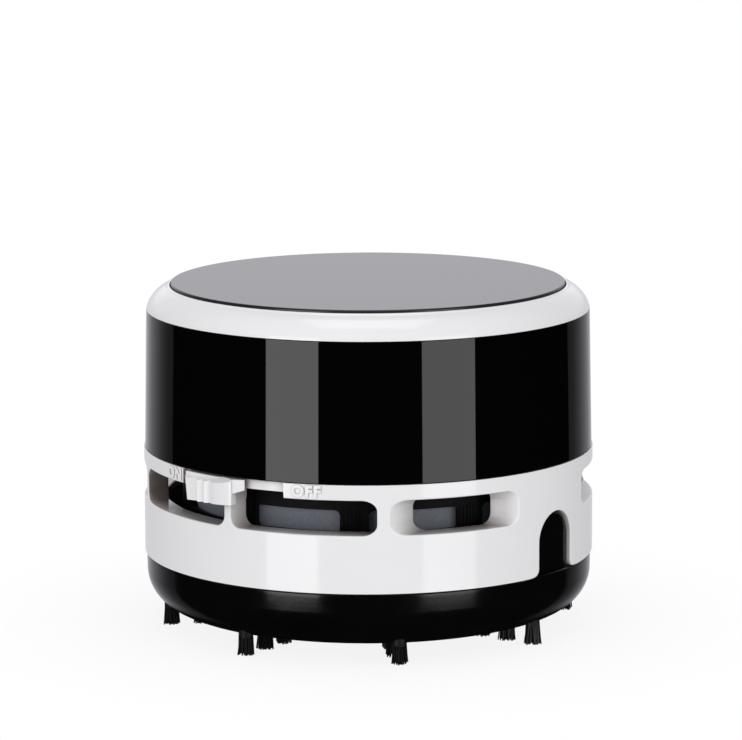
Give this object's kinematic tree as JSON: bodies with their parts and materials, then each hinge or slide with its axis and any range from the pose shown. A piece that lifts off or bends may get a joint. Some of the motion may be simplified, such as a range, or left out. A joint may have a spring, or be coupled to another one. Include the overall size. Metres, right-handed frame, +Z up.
{
  "type": "desktop mini vacuum cleaner",
  "caption": "Small round battery desk vacuum with a lift-off lid, side vents, a sliding switch, a push release and a bristle-footed dust base.",
  "frame": {"origin": "on the desk, under the middle of the round body, at the bristle tips", "axes": "+Z up along the fan's axis; -Y is the front, with the switch to its left and the release tongue to its right; +X is the right-hand side"},
  "size_m": [0.0854, 0.0854, 0.0653],
  "materials": {
    "satin_black": "satin",
    "gloss_black": "high gloss",
    "disc_black": "satin",
    "matt_black": "fine matt",
    "bristle_black": "nylon filament",
    "white_plastic": "semi gloss",
    "fan_white": "satin",
    "motor_white": "satin",
    "steel": "zinc plated",
    "motor_steel": "plated sheet",
    "spring_metal": "nickel plated",
    "brass": "plain",
    "filter_grey": "non-woven",
    "mesh_grey": "woven",
    "cell_jacket": "gloss label"
  },
  "bodies": {
    "base": {"base_tray": "satin_black", "bristle_tufts": "bristle_black", "latch_pin": "steel"},
    "latch": {"release_tongue": "satin_black"},
    "switch": {"switch_knob": "white_plastic", "switch_slider": "satin_black", "switch_wiper": "brass"},
    "rotor": {"fan": "fan_white", "motor_shaft": "steel"},
    "lid": {"cap_ring": "white_plastic", "top_disc": "disc_black"},
    "housing": {"battery_tray": "matt_black", "bridge_contact": "spring_metal", "carrier_screws": "steel", "filter_frame": "matt_black", "filter_mesh": "mesh_grey", "front_cell": "cell_jacket", "inlet_plate": "matt_black", "minus_contact": "spring_metal", "motor_can": "motor_steel", "motor_carrier": "matt_black", "motor_end_cap": "motor_white", "motor_terminals": "brass", "outlet_filter": "filter_grey", "plus_contact": "spring_metal", "rear_cell": "cell_jacket", "switch_contacts": "brass", "upper_shell": "gloss_black", "vent_ring": "white_plastic"}
  },
  "joints": [
    {"name": "housing_lift", "type": "slide", "parent": "base", "child": "housing", "axis": [0, 0, 1], "range_m": [0, 0.03]},
    {"name": "lid_lift", "type": "slide", "parent": "housing", "child": "lid", "axis": [0, 0, 1], "range_m": [0, 0.03]},
    {"name": "switch_slide", "type": "hinge", "parent": "housing", "child": "switch", "pos_m": [0, 0, 0.03166], "axis": [0, 0, 1], "range_deg": [0, 10.5]},
    {"name": "fan_spin", "type": "hinge", "parent": "housing", "child": "rotor", "pos_m": [0, 0, 0.0253], "axis": [0, 0, 1], "continuous": true},
    {"name": "tongue_press", "type": "hinge", "parent": "base", "child": "latch", "pos_m": [0.03118, -0.02207, 0.0123], "axis": [-0.5779, -0.8161, 0], "range_deg": [0, 6.5], "stiffness_Nm_per_rad": 0.3}
  ]
}
